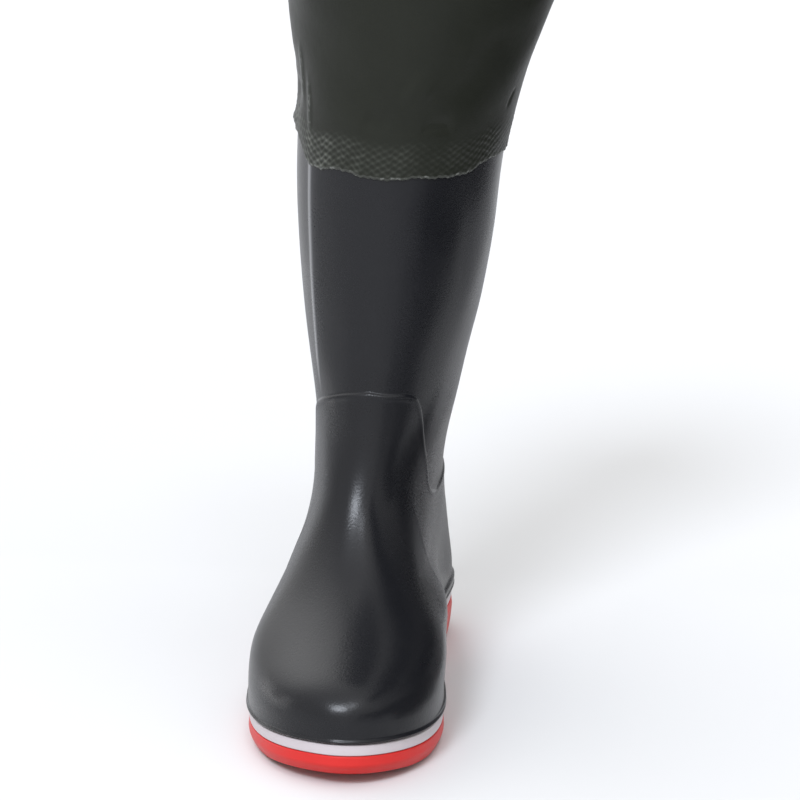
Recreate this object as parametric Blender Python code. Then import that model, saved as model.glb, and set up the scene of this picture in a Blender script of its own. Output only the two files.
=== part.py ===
"""Right boot of a full-body wader, with the lower end of its trouser leg welded round the shaft.

The boot is a black moulded upper (foot and shaft in one hollow wall), a white midsole band, a red
outsole with a heel, an insole, and the green coated-fabric leg. Every form is worked out from one
last: a plan outline, a front and a back profile, and a table of shaft sections.

Tables and sizes are in millimetres, meshes in metres. Toe towards -Y, medial side towards +X, +Z up.
Along the foot, "station" is the distance forward from the back of the heel.
Round the boot, "turn" is an angle: 0 at the heel, 180 degrees at the toe, lateral side in between.
"""

import math

import bpy
import numpy as np

MM = 0.001

# Driving sizes of the upper, in millimetres.
LAST_LENGTH = 306.0
WALL = 2.6
GAP = 0.3
RAND_STEP = 2.5
RAND_LIP = 0.9
RAND_LIP_HEIGHT = 1.4
RAND_SLOPE = 1.8
OVERLAY_STEP = 1.2
STEP_RISE = 1.0
COLLAR_HEIGHT = 342.0

# Sizes of the other pieces.
MIDSOLE_THICKNESS = 6.6
MIDSOLE_OFFSET = 0.7
INSOLE_THICKNESS = 4.0
INSOLE_CLEARANCE = 0.4
LEG_THICKNESS = 1.0
LEG_TOP = 440.0
WELD_STEP = 0.5
WELD_WIDTH = 25.0
WELD_HEIGHT = 315.0

# Columns round the boot, and rows up each stretch of it.
COLUMNS = 56
OVERLAY_ROWS = 17
OVERLAY_CROWDING = 1.3
SHAFT_ROWS = 10
LEG_ROWS = 7

# Plan outline of the last at its widest level: x of the lateral and of the medial edge.
PLAN = {
    "station": (0, 6, 20, 42, 80, 120, 160, 190, 216, 246, 272, 292, 302, 306),
    "lateral": (0, -19.5, -31.5, -36, -38.5, -44.5, -53, -56, -55.4, -49.4, -37.8, -21, -5, 10),
    "medial": (0, 19.5, 31.2, 34.6, 33.5, 36, 44.5, 51.5, 56, 55.6, 48.8, 36.6, 25, 10),
}

# Height of the upper's lower edge, which is the top of the midsole.
SEAT = {
    "station": (0, 60, 120, 170, 215, 260, 306),
    "height": (30, 29.5, 25.5, 21, 19.5, 21.2, 26.5),
}

# Side profile of the upper: stations of its front and its back edge at each height.
FRONT = {
    "height": (37, 46, 52, 57, 62, 68, 76, 88, 104, 124, 150, 184, 225, 275, 330, 440),
    "station": (306, 303.5, 298, 289, 274, 256, 237, 216, 197, 180, 167, 157.5, 151, 147, 146, 156),
}
BACK = {
    "height": (20, 45, 60, 80, 110, 140, 184, 225, 275, 330, 440),
    "station": (1.5, 0, 1, 4.5, 10, 13, 13, 11, 7, 3, -4),
}

# Shaft and leg sections: x of both sides, and the widest place as a share of the depth from the back.
SHAFT = {
    "height": (40, 80, 110, 140, 162, 184, 225, 275, 320, 360, 400, 440),
    "lateral": (-35, -35.3, -35.8, -35.7, -36.4, -39.2, -44.5, -49, -49.5, -48.6, -52.5, -59.5),
    "medial": (34, 34.2, 34.5, 38.2, 43.4, 48.4, 58.2, 66.4, 72, 82, 97, 116),
    "widest": (0.35, 0.36, 0.38, 0.42, 0.45, 0.47, 0.5, 0.5, 0.5, 0.5, 0.5, 0.5),
}

# Foot sections: sideways place of the top ridge, and how full the dome is on either side of it.
DOME = {
    "station": (0, 110, 160, 210, 260, 306),
    "ridge_x": (0, 0, 3, 7, 9.5, 10),
    "lateral_power": (2.2, 2.1, 1.9, 1.9, 2.1, 2.4),
    "medial_power": (2.3, 2.3, 2.3, 2.3, 2.3, 2.4),
}
WIDEST_ABOVE_SEAT = 10.5

# How far the foot swells out on either side, halfway up a stretch above its widest level.
SWELL = {
    "station": (0, 110, 145, 175, 205, 245, 306),
    "lateral": (0, 0.4, 1.2, 2.1, 3.4, 1.4, 0),
    "medial": (0, 3.2, 7.6, 4.8, 3.0, 1.0, 0),
}
SWELL_HEIGHT = 52.0

# Stretch of height over which the foot's form turns into the shaft's.
FOOT_ENDS = 46.0
SHAFT_STARTS = 128.0

# Upper edge of the overlay on either side: high at the instep, low from the ankle to the heel.
OVERLAY_EDGE = {
    "turn_deg": (0, 40, 66, 84, 92, 102, 112, 120, 126, 134, 140.5, 147, 160, 180),
    "lateral": (118, 116.5, 114, 113, 118, 136, 160, 170.5, 174, 177.5, 179.8, 182, 185.5, 188),
    "medial": (118, 116.5, 113, 110.5, 112.5, 120, 135, 146, 154.5, 168.5, 179, 183.7, 186, 188),
}

# Upper edge of the rand above the foot of the wall, and the turns between which its step runs out.
RAND_EDGE = {
    "turn_deg": (0, 50, 100, 180),
    "height": (8.4, 8.4, 5.0, 5.0),
}
RAND_FADES = (104, 132)

# Outsole: side offsets from the last, ground line with heel breast, arch and toe spring, and tread.
SOLE_TOP_OFFSET = 0.7
SOLE_RIB_OFFSET = 1.1
SOLE_RIB_DROP = 5.5
SOLE_EDGE_OFFSET = -1.3
SOLE_EDGE_HEIGHT = 2.2
SOLE_FOOT_OFFSET = -4.0
GROUND = {
    "station": (0, 84, 87, 112, 140, 163, 232, 250, 272, 290, 306),
    "height": (0, 0, 9.5, 9, 4, 0, 0, 0.7, 2.9, 5.6, 8.3),
}
TREAD_DEPTH = 4.0
TREAD_RIM = 9.0
GROOVE_WIDTH = 6.5
CHEVRON_RISE = 6.0
GROOVE_STATIONS = (12, 26, 40, 54, 180, 194, 208, 222, 236, 250, 264)

HEEL_Y = LAST_LENGTH / 2


def spline(table, key, column):
    """A natural cubic curve through one column of a table, as a function of its key column."""
    knots = np.array(table[key], float)
    values = np.array(table[column], float)
    step = np.diff(knots)
    slope = np.diff(values) / step
    count = len(knots)
    matrix = np.eye(count)
    bend = np.zeros(count)
    for i in range(1, count - 1):
        matrix[i, i - 1 : i + 2] = step[i - 1], 2 * (step[i - 1] + step[i]), step[i]
        bend[i] = 6 * (slope[i] - slope[i - 1])
    second = np.linalg.solve(matrix, bend)

    def curve(at):
        at = np.clip(at, knots[0], knots[-1])
        i = np.clip(np.searchsorted(knots, at) - 1, 0, count - 2)
        before = at - knots[i]
        after = knots[i + 1] - at
        cubic = (second[i] * after**3 + second[i + 1] * before**3) / (6 * step[i])
        start = (values[i] / step[i] - second[i] * step[i] / 6) * after
        end = (values[i + 1] / step[i] - second[i + 1] * step[i] / 6) * before
        return cubic + start + end

    return curve


def turn_of(station):
    """The half turn at which the plan outline reaches a station: close steps at heel and toe."""
    return np.arccos(np.clip(1 - 2 * np.asarray(station, float) / LAST_LENGTH, -1, 1))


PLAN["turn"] = turn_of(PLAN["station"])
plan_lateral = spline(PLAN, "turn", "lateral")
plan_medial = spline(PLAN, "turn", "medial")
seat = spline(SEAT, "station", "height")
front = spline(FRONT, "height", "station")
back = spline(BACK, "height", "station")
shaft_lateral = spline(SHAFT, "height", "lateral")
shaft_medial = spline(SHAFT, "height", "medial")
shaft_widest = spline(SHAFT, "height", "widest")
ridge_x = spline(DOME, "station", "ridge_x")
lateral_power = spline(DOME, "station", "lateral_power")
medial_power = spline(DOME, "station", "medial_power")
lateral_swell = spline(SWELL, "station", "lateral")
medial_swell = spline(SWELL, "station", "medial")
overlay_lateral = spline(OVERLAY_EDGE, "turn_deg", "lateral")
overlay_medial = spline(OVERLAY_EDGE, "turn_deg", "medial")
rand_edge = spline(RAND_EDGE, "turn_deg", "height")

RIDGE_HEIGHTS = np.linspace(FRONT["height"][0], FRONT["height"][-1], 600)
RIDGE_STATIONS = np.minimum.accumulate(front(RIDGE_HEIGHTS))


def ridge_height(station):
    """Height of the upper's top line over a station: the front profile read the other way."""
    return np.interp(station, RIDGE_STATIONS[::-1], RIDGE_HEIGHTS[::-1])


def ground(station):
    """Height of the outsole's lower face: flat heel, breast, arch, flat forefoot, toe spring."""
    return np.interp(station, GROUND["station"], GROUND["height"])


def half_turn(turn):
    """The turn folded to 0..180 degrees, and whether it is on the medial side."""
    turn = np.mod(turn, 2 * math.pi)
    return np.where(turn <= math.pi, turn, 2 * math.pi - turn), turn > math.pi


def smooth_share(low, high, at):
    """0 below low, 1 above high, and an S-shaped cubic between them."""
    share = np.clip((at - low) / (high - low), 0, 1)
    return share * share * (3 - 2 * share)


def overlay_edge(turn):
    """Height of the overlay's upper edge at a turn."""
    half, medial = half_turn(turn)
    return np.where(medial, overlay_medial(np.degrees(half)), overlay_lateral(np.degrees(half)))


def last_surface(turn, height):
    """Point of the plain last: domed foot sections below and egg-shaped shaft sections above, blended."""
    half, medial = half_turn(turn)
    share = (1 - np.cos(half)) / 2
    start = back(height)
    station = start + (front(height) - start) * share

    plan_turn = turn_of(station - start * np.clip(1 - station / 120, 0, 1))
    edge = np.where(medial, plan_medial(plan_turn), plan_lateral(plan_turn))
    power = np.where(medial, medial_power(station), lateral_power(station))
    widest_level = seat(station) + WIDEST_ABOVE_SEAT
    swell = np.where(medial, medial_swell(station), -lateral_swell(station))
    swell_share = np.clip((height - widest_level) / SWELL_HEIGHT, 0, 1)
    edge = edge + swell * (4 * swell_share * (1 - swell_share)) ** 2
    rise = (height - widest_level) / np.maximum(ridge_height(station) - widest_level, 1e-6)
    dome = (1 - np.clip(rise, 0, 1) ** power) ** (1 / power)
    ridge = ridge_x(station)
    foot_x = ridge + (edge - ridge) * dome

    side = np.where(medial, shaft_medial(height), shaft_lateral(height))
    middle = (shaft_medial(height) + shaft_lateral(height)) / 2
    widest = shaft_widest(height)
    reach = np.where(share < widest, (widest - share) / widest, (share - widest) / (1 - widest))
    egg = np.sqrt(np.clip(1 - reach**2, 0, 1))
    shaft_x = middle + (side - middle) * egg

    x = foot_x + (shaft_x - foot_x) * smooth_share(FOOT_ENDS, SHAFT_STARTS, height)
    return np.stack([x, HEEL_Y - station, height + 0 * x], axis=-1)


def offset_surface(turn, height, offset):
    """The last moved out along its own normal; a negative offset goes into the foot."""
    d_turn = 0.03
    d_height = 0.6
    along = last_surface(turn + d_turn, height) - last_surface(turn - d_turn, height)
    up = last_surface(turn, height + d_height) - last_surface(turn, height - d_height)
    normal = np.cross(along, up)
    normal /= np.linalg.norm(normal, axis=-1, keepdims=True)
    return last_surface(turn, height) + normal * np.asarray(offset)[..., None]


def wall_rings(rows):
    """Rings of the wall from rows of heights and offsets; the first and the last ring are level."""
    rings = [offset_surface(TURNS, heights, offset) for heights, offset in rows]
    for end in (0, -1):
        rings[end][:, 2] = rows[end][0]
    return rings


def spaced_levels(low, high, rows, crowding=1.0):
    """Heights that share out each upright line of the last by length, closer together near its foot."""
    heights = low + (high - low) * np.linspace(0, 1, 160)[:, None]
    points = last_surface(np.broadcast_to(TURNS, heights.shape), heights)
    steps = np.linalg.norm(np.diff(points, axis=0), axis=-1)
    length = np.vstack([np.zeros(COLUMNS), np.cumsum(steps, axis=0)])
    shares = np.linspace(0, 1, rows) ** crowding
    columns = [np.interp(shares * length[-1, j], length[:, j], heights[:, j]) for j in range(COLUMNS)]
    return np.stack(columns, axis=1)


def mirrored_turns(half):
    """Turns all the way round from those of the lateral side, with the medial side to match."""
    return np.concatenate([half, 2 * math.pi - half[-2:0:-1]])


TURNS = mirrored_turns(np.linspace(0, math.pi, COLUMNS // 2 + 1))
BREAST_TURNS = turn_of([station for station in GROUND["station"] if 80 < station < 90])
SOLE_TURNS = mirrored_turns(np.sort(np.append(TURNS[: COLUMNS // 2 + 1], BREAST_TURNS)))


def flat_outline(turns, offset):
    """The plan outline moved sideways by an offset: x and station at each turn."""
    def plain(turn):
        half, medial = half_turn(turn)
        station = LAST_LENGTH * (1 - np.cos(half)) / 2
        return np.stack([np.where(medial, plan_medial(half), plan_lateral(half)), station], axis=-1)

    along = plain(turns + 0.02) - plain(turns - 0.02)
    normal = np.stack([-along[:, 1], along[:, 0]], axis=-1)
    normal /= np.linalg.norm(normal, axis=-1, keepdims=True)
    return plain(turns) + normal * offset


def sole_ring(turns, offset, height):
    """A ring round the plan outline; the height is a function of the station of its column."""
    outline = flat_outline(turns, offset)
    half, _ = half_turn(turns)
    station = LAST_LENGTH * (1 - np.cos(half)) / 2
    return np.stack([outline[:, 0], HEEL_Y - outline[:, 1], height(station)], axis=-1)


def new_object(name, points, faces):
    """A named mesh object from points in millimetres, smooth where it is round."""
    mesh = bpy.data.meshes.new(name)
    mesh.from_pydata((np.asarray(points) * MM).tolist(), [], faces)
    mesh.shade_smooth()
    mesh.set_sharp_from_angle(angle=math.radians(40))
    made = bpy.data.objects.new(name, mesh)
    bpy.context.scene.collection.objects.link(made)
    return made


def ring_quads(rows, columns, closed=False):
    """Faces between stacked rings of points; closed joins the last ring to the first."""
    faces = []
    for i in range(rows if closed else rows - 1):
        below = i * columns
        above = (i + 1) % rows * columns
        for j in range(columns):
            after = (j + 1) % columns
            faces.append((below + j, below + after, above + after, above + j))
    return faces


def rung_quads(first, columns, facing_up):
    """Faces across a ring, between matching places of its lateral and medial sides."""
    faces = []
    for j in range(columns // 2):
        corners = dict.fromkeys([j, j + 1, columns - j - 1, (columns - j) % columns])
        face = [first + corner for corner in corners]
        faces.append(face if facing_up else face[::-1])
    return faces


def shell_object(name, rings):
    """A hollow wall: rings run up the outside, over the rim and down the inside, and meet below."""
    return new_object(name, np.concatenate(rings), ring_quads(len(rings), len(rings[0]), closed=True))


def slab_object(name, rings):
    """A solid stack of rings from the bottom up, closed below and above by faces across."""
    columns = len(rings[0])
    faces = ring_quads(len(rings), columns)
    faces += rung_quads(0, columns, facing_up=False)
    faces += rung_quads((len(rings) - 1) * columns, columns, facing_up=True)
    return new_object(name, np.concatenate(rings), faces)


def wall_foot():
    """Height of the upper's lower edge at every column, just clear of the midsole."""
    half, _ = half_turn(TURNS)
    return seat(LAST_LENGTH * (1 - np.cos(half)) / 2) + GAP


def make_upper():
    """Foot and shaft in one wall, with the rand and the ankle overlay as steps in its outside."""
    foot = wall_foot()
    half, _ = half_turn(TURNS)
    rand_top = foot + rand_edge(np.degrees(half))
    rand_offset = RAND_STEP - (RAND_STEP - OVERLAY_STEP) * smooth_share(*RAND_FADES, np.degrees(half))
    edge = overlay_edge(TURNS)
    collar = np.full(COLUMNS, COLLAR_HEIGHT)
    overlay = list(spaced_levels(rand_top, edge, OVERLAY_ROWS, OVERLAY_CROWDING))
    shaft = list(spaced_levels(edge + STEP_RISE, collar, SHAFT_ROWS))

    outside = [(foot, rand_offset - RAND_LIP), (foot + RAND_LIP_HEIGHT, rand_offset)]
    outside += [(rand_top - RAND_SLOPE, rand_offset)]
    outside += [(level, OVERLAY_STEP) for level in overlay]
    outside += [(level, 0) for level in shaft]
    inside = [(level, -WALL) for level in shaft[::-1] + overlay[-2::-1] + [foot]]
    return shell_object("upper", wall_rings(outside) + wall_rings(inside))


def make_midsole():
    """White band: a plate between upper and outsole that shows round the whole edge."""
    lower = sole_ring(TURNS, MIDSOLE_OFFSET, lambda station: seat(station) - MIDSOLE_THICKNESS)
    higher = sole_ring(TURNS, MIDSOLE_OFFSET, seat)
    return slab_object("midsole", [lower, higher])


def make_insole():
    """Footbed that lies on the midsole, inside the wall."""
    inset = -WALL - INSOLE_CLEARANCE
    lower = offset_surface(TURNS, wall_foot(), inset)
    higher = offset_surface(TURNS, wall_foot() + INSOLE_THICKNESS, inset)
    return slab_object("insole", [lower, higher])


def make_outsole():
    """Red sole with a heel, an arch, a toe spring and a rounded rib along its side."""
    def top(station):
        return seat(station) - MIDSOLE_THICKNESS - GAP

    return slab_object("outsole", [
        sole_ring(SOLE_TURNS, SOLE_FOOT_OFFSET, ground),
        sole_ring(SOLE_TURNS, SOLE_EDGE_OFFSET, lambda station: ground(station) + SOLE_EDGE_HEIGHT),
        sole_ring(SOLE_TURNS, SOLE_RIB_OFFSET, lambda station: top(station) - SOLE_RIB_DROP),
        sole_ring(SOLE_TURNS, SOLE_TOP_OFFSET, top),
    ])


def chevron_outline(station):
    """A groove across the sole, pointing to the toe, between the rims of the tread: x and station."""
    lateral = plan_lateral(turn_of(station)) + TREAD_RIM
    medial = plan_medial(turn_of(station)) - TREAD_RIM
    corners = [(lateral, 0), ((lateral + medial) / 2, CHEVRON_RISE), (medial, 0)]
    near = [(x, station + rise) for x, rise in corners]
    far = [(x, station + rise + GROOVE_WIDTH) for x, rise in corners]
    return near + far[::-1]


def make_tread_cutter():
    """All grooves of the tread in one hidden cutter, each as deep as the tread at its station."""
    points = []
    faces = []
    for station in GROOVE_STATIONS:
        outline = chevron_outline(station)
        count = len(outline)
        first = len(points)
        roof = ground(station + CHEVRON_RISE) + TREAD_DEPTH
        for height in (-TREAD_DEPTH, roof):
            points += [(x, HEEL_Y - s, height) for x, s in outline]
        floor_face = [first + j for j in range(count)]
        faces += [floor_face, [corner + count for corner in floor_face[::-1]]]
        for j in range(count):
            after = (j + 1) % count
            faces.append([first + after, first + j, first + count + j, first + count + after])
    cutter = new_object("tread_cutter", points, faces)
    cutter.hide_render = True
    cutter.display_type = "WIRE"
    return cutter


def cut(piece, cutter):
    """Take the cutter out of a piece."""
    modifier = piece.modifiers.new(cutter.name, "BOOLEAN")
    modifier.operation = "DIFFERENCE"
    modifier.solver = "EXACT"
    modifier.object = cutter


def make_leg():
    """Coated-fabric tube welded over the shaft, with a slightly thicker weld band below."""
    low = np.full(COLUMNS, WELD_HEIGHT)
    band = low + WELD_WIDTH
    above = list(spaced_levels(band + STEP_RISE, np.full(COLUMNS, LEG_TOP), LEG_ROWS))
    outer = GAP + LEG_THICKNESS
    outside = [(low, outer + WELD_STEP), (band, outer + WELD_STEP)]
    outside += [(level, outer) for level in above]
    inside = [(level, GAP) for level in above[::-1] + [band, low]]
    return shell_object("leg", wall_rings(outside) + wall_rings(inside))


def finish(piece, name, colour, roughness):
    """Give a piece its own Principled material."""
    material = bpy.data.materials.new(name)
    material.use_nodes = True
    shader = material.node_tree.nodes["Principled BSDF"]
    shader.inputs["Base Color"].default_value = (*colour, 1)
    shader.inputs["Roughness"].default_value = roughness
    shader.inputs["Metallic"].default_value = 0
    piece.data.materials.append(material)
    return piece


def centre_on_floor(pieces, helpers):
    """Hang all objects on one empty, so that the origin is on the floor under the boot's middle."""
    corners = np.array([corner for piece in pieces for corner in piece.bound_box])
    middle = (corners.min(axis=0) + corners.max(axis=0)) / 2
    boot = bpy.data.objects.new("boot", None)
    boot.location = (-middle[0], -middle[1], 0)
    bpy.context.scene.collection.objects.link(boot)
    for made in pieces + helpers:
        made.parent = boot


def main():
    for old in list(bpy.data.objects):
        bpy.data.objects.remove(old)
    outsole = finish(make_outsole(), "red_rubber", (0.70, 0.035, 0.032), 0.42)
    tread_cutter = make_tread_cutter()
    cut(outsole, tread_cutter)
    pieces = [
        outsole,
        finish(make_midsole(), "white_rubber", (0.68, 0.67, 0.72), 0.5),
        finish(make_insole(), "grey_felt", (0.10, 0.10, 0.11), 0.9),
        finish(make_upper(), "black_rubber", (0.030, 0.031, 0.034), 0.38),
        finish(make_leg(), "green_coated_fabric", (0.030, 0.034, 0.026), 0.55),
    ]
    centre_on_floor(pieces, [tread_cutter])


main()
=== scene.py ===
"""Dresses the wader boot: moulded upper, banded sole, footbed, knitted lining and welded fabric leg."""

import math
from collections import namedtuple

import bpy
import numpy as np
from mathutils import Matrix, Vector


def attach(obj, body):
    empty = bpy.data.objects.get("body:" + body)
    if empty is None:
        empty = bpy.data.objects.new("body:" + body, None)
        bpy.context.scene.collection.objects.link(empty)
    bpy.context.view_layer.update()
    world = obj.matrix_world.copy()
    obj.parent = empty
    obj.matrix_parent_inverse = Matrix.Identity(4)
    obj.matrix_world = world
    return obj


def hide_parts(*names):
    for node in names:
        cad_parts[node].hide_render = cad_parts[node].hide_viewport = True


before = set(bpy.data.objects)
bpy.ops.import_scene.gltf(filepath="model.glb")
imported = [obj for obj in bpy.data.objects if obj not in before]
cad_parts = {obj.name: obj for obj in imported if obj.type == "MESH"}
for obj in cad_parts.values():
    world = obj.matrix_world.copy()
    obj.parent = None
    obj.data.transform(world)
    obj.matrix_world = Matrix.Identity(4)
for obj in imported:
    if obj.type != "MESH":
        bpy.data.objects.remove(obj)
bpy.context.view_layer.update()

# The last that the part's source is built on, in millimetres
MM = 0.001
PART_ORIGIN = np.array([28.234, 2.05, 0.0])
LAST_LENGTH = 306.0
HEEL_Y = LAST_LENGTH / 2
WALL = 2.6
GAP = 0.3
WIDEST_ABOVE_SEAT = 10.5
SWELL_HEIGHT = 52.0
FOOT_ENDS = 46.0
SHAFT_STARTS = 128.0
HEEL_SHIFT_ENDS = 120.0
RIDGE_SAMPLES = 600
LEVEL_SAMPLES = 300

PLAN = {
    "station": (0, 6, 20, 42, 80, 120, 160, 190, 216, 246, 272, 292, 302, 306),
    "lateral": (0, -19.5, -31.5, -36, -38.5, -44.5, -53, -56, -55.4, -49.4, -37.8, -21, -5, 10),
    "medial": (0, 19.5, 31.2, 34.6, 33.5, 36, 44.5, 51.5, 56, 55.6, 48.8, 36.6, 25, 10),
}
SEAT = {
    "station": (0, 60, 120, 170, 215, 260, 306),
    "height": (30, 29.5, 25.5, 21, 19.5, 21.2, 26.5),
}
FRONT = {
    "height": (37, 46, 52, 57, 62, 68, 76, 88, 104, 124, 150, 184, 225, 275, 330, 440),
    "station": (306, 303.5, 298, 289, 274, 256, 237, 216, 197, 180, 167, 157.5, 151, 147, 146, 156),
}
BACK = {
    "height": (20, 45, 60, 80, 110, 140, 184, 225, 275, 330, 440),
    "station": (1.5, 0, 1, 4.5, 10, 13, 13, 11, 7, 3, -4),
}
SHAFT = {
    "height": (40, 80, 110, 140, 162, 184, 225, 275, 320, 360, 400, 440),
    "lateral": (-35, -35.3, -35.8, -35.7, -36.4, -39.2, -44.5, -49, -49.5, -48.6, -52.5, -59.5),
    "medial": (34, 34.2, 34.5, 38.2, 43.4, 48.4, 58.2, 66.4, 72, 82, 97, 116),
    "widest": (0.35, 0.36, 0.38, 0.42, 0.45, 0.47, 0.5, 0.5, 0.5, 0.5, 0.5, 0.5),
}
DOME = {
    "station": (0, 110, 160, 210, 260, 306),
    "ridge_x": (0, 0, 3, 7, 9.5, 10),
    "lateral_power": (2.2, 2.1, 1.9, 1.9, 2.1, 2.4),
    "medial_power": (2.3, 2.3, 2.3, 2.3, 2.3, 2.4),
}
SWELL = {
    "station": (0, 110, 145, 175, 205, 245, 306),
    "lateral": (0, 0.4, 1.2, 2.1, 3.4, 1.4, 0),
    "medial": (0, 3.2, 7.6, 4.8, 3.0, 1.0, 0),
}
GROUND = {
    "station": (0, 84, 87, 112, 140, 163, 232, 250, 272, 290, 306),
    "height": (0, 0, 9.5, 9, 4, 0, 0, 0.7, 2.9, 5.6, 8.3),
}
MOULD_WAVES = {
    "around": (2, 3, 5, 7),
    "length": (150, 95, 66, 48),
}

# Upper: its grid, collar, rand (a profile for the sides and one for the toe), overlay, crease and lining
UPPER_COLUMNS = 400
OVERLAY_ROWS = 96
LIP_ROWS = 21
SHAFT_ROWS = 46
INSIDE_ROWS = 26
ROW_GAP = 0.9
UPPER_WAVES = 0.16
UPPER_SEED = 3
COLLAR_HEIGHT = 342.0
COLLAR_RIM = {
    "drop": (0.35, 0.1, 0, 0, 0.1, 0.35),
    "offset": (-0.1, -0.5, -1.0, 1.0 - WALL, 0.5 - WALL, 0.1 - WALL),
}
RAND = {
    "rise": (0, 0.5, 1.1, 1.8, 2.5, 3.1, 4.0, 5.5, 6.8, 7.6, 8.4, 9.4, 13),
    "side": (0.4, 1.2, 2.2, 2.6, 2.3, 2.2, 2.4, 2.6, 2.5, 2.0, 1.4, 1.2, 1.2),
    "toe": (0.2, 1.0, 2.0, 2.35, 1.9, 1.45, 1.25, 1.2, 1.2, 1.2, 1.2, 1.2, 1.2),
}
BEAD_TOP = 3.1
RAND_TOP = 8.4
RAND_EDGE = {
    "turn_deg": (0, 50, 100, 180),
    "height": (8.4, 8.4, 5.0, 5.0),
}
RAND_ROWS = np.concatenate([np.linspace(0, 5.5, 23), np.linspace(5.9, 13, 15)])
RAND_FADES = (104, 132)
RAND_JOIN = (0, 2.5)
RIDGE_EASE = 0.7
RIDGE_WIDTH = 7.0
EASED_HEIGHTS = (70, 95, 140, 170)
OVERLAY_STEP = 1.2
OVERLAY_EDGE = {
    "turn_deg": (0, 40, 66, 84, 92, 102, 112, 120, 126, 134, 140.5, 147, 160, 180),
    "lateral": (118, 116.5, 114, 113, 118, 136, 160, 170.5, 174, 177.5, 179.8, 182, 185.5, 188),
    "medial": (118, 116.5, 113, 110.5, 112.5, 120, 135, 146, 154.5, 168.5, 179, 183.7, 186, 188),
}
LIP_REACH = 4.0
LIP_SLOPE = (-0.7, 1.3)
LIP_ROLL = 0.22
LIP_ROLL_BELOW = 1.8
LIP_ROLL_WIDTH = 1.4
CREASE = {
    "height": (150, 180, 205, 240, 275, 311, 345),
    "turn_deg": (129.5, 131, 132.2, 132, 131.8, 131.2, 130),
}
CREASE_FOOT = (176, 204)
CREASE_HEIGHT = 1.3
CREASE_ROUNDING = 1.6
CREASE_REACH = 6.0
CREST_HEIGHT = 0.3
CREST_WIDTH = 1.7
# Painted highlight along the crease's crest: its width, the strength of its tail to the front and the tail's
# reach
CREASE_HIGHLIGHT_WIDTH = 1.5
CREASE_HIGHLIGHT_TAIL = 0.3
CREASE_HIGHLIGHT_REACH = 3.0
LINING_COLUMNS = 240
LINING_ROWS = 70
LINING_RISE = 0.4
LINING_DROP = 1.2
LINING_DEPTHS = (0.15, 0.85)

# Sole: white band, red outsole with its tread, and the footbed
PLAIN_RUNGS = 4
BAND_COLUMNS = 480
BAND_THICKNESS = 6.6
BAND = {
    "rise": (0, 0.3, 0.9, 3.3, 5.7, 6.3, 6.6),
    "offset": (0.1, 0.55, 0.78, 0.88, 0.78, 0.55, 0),
}
BAND_ROWS = np.concatenate([np.linspace(0, 1, 6), np.linspace(1.8, 4.8, 5), np.linspace(5.6, 6.6, 6)])
SOLE_COLUMNS = 960
SOLE_ROWS = 31
SOLE_SIDE = {
    "row": (0, 1, 2, 3, 4, 5, 6, 7, 8, 9, 10),
    "share": (0, 0, 0, 0, 0.5, 1, 1, 1, 1, 1, 1),
    "rise": (0, 0.25, 0.9, 2.2, -1.6, -5.5, -4.2, -2.6, -1.2, -0.35, 0),
    "offset": (-4.0, -2.9, -1.9, -1.1, 0.3, 1.1, 1.1, 0.95, 0.85, 0.65, 0.1),
}
TREAD_RUNGS = 84
TREAD_DEPTH = 4.0
TREAD_RIM = 9.0
GROOVE_WIDTH = 6.5
GROOVE_SLOPE = 0.7
CHEVRON_RISE = 6.0
GROOVE_STATIONS = (12, 26, 40, 54, 180, 194, 208, 222, 236, 250, 264)
FOOTBED_COLUMNS = 320
FOOTBED_ROWS = 13
FOOTBED_THICKNESS = 4.0
FOOTBED_CLEARANCE = 0.4
FOOTBED_EDGE = {
    "rise": (0, 0.5, 2.8, 3.6, 4.0),
    "inset": (0.7, 0, 0, 0.4, 1.6),
}
FOOTBED_DISH = 0.8
DISH_RUNGS = 40

# Leg: coated fabric, its edges, its weld on the shaft with the net, and its folds
LEG_TOP = 440.0
LEG_THICKNESS = 1.0
LEG_OUTER = GAP + LEG_THICKNESS
LEG_EDGE = {
    "rise": (0, 0.25, 0.55),
    "offset": (LEG_OUTER - 0.5, LEG_OUTER - 0.15, LEG_OUTER),
}
LEG_RIM = {
    "drop": (0.25, 0, 0, 0.25),
    "offset": (LEG_OUTER - 0.1, LEG_OUTER - 0.35, GAP + 0.35, GAP + 0.1),
}
EDGE_GAP = 0.9
CLOTH_GAP = 0.8
RIM_GAP = 0.6
CLOTH_ROWS = 74
LEG_INSIDE_ROWS = 26
LEG_WAVES = 0.5
LEG_SEED = 11
WELD_EDGE = {
    "turn_deg": (0, 60, 95, 115, 121.5, 127, 138.5, 152, 164, 174.5, 198.5, 231, 241, 258, 300, 360),
    "height": (317, 319, 325, 326, 321.5, 316.5, 314, 316.5, 315.5, 313.7, 314.3, 314, 317, 316.5, 317, 317),
}
WELD_WIDTH = 25.0
WELD_CLEARANCE = 0.04
SEAT_OPENS = (COLLAR_HEIGHT - 4, COLLAR_HEIGHT + 2)
RAGGED_SEED = 7
RAGGED_SIZES = (0.08, 0.3)
RAGGED_WAVES = (17, 29, 43, 71, 97)
FRAYED_ROWS = 2
NET_CELLS = 8
NET_DIAMONDS = 62
NET_ROW = 0.53
NET_HEIGHT = 0.42
NET_SHARPNESS = 1.5
NET_LINE = 0.38
NET_KNOT = 0.62
NET_FADES = (0.62, 1.0)
NET_EVEN = 0.75
NET_PATCHY = 0.25
PATCH_WAVES = (3, 11)
PATCH_PHASE = 0.6
# Painted highlight on the net lines: a small share all round and more on the lit lateral front, centred on a
# turn in degrees with a width
NET_HIGHLIGHT_ALL_ROUND = 0.1
NET_HIGHLIGHT_LIT_SIDE = 0.75
NET_LIT_SIDE_TURN = 126
NET_LIT_SIDE_WIDTH = 38
LEG_RADIUS = 66.0

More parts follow.
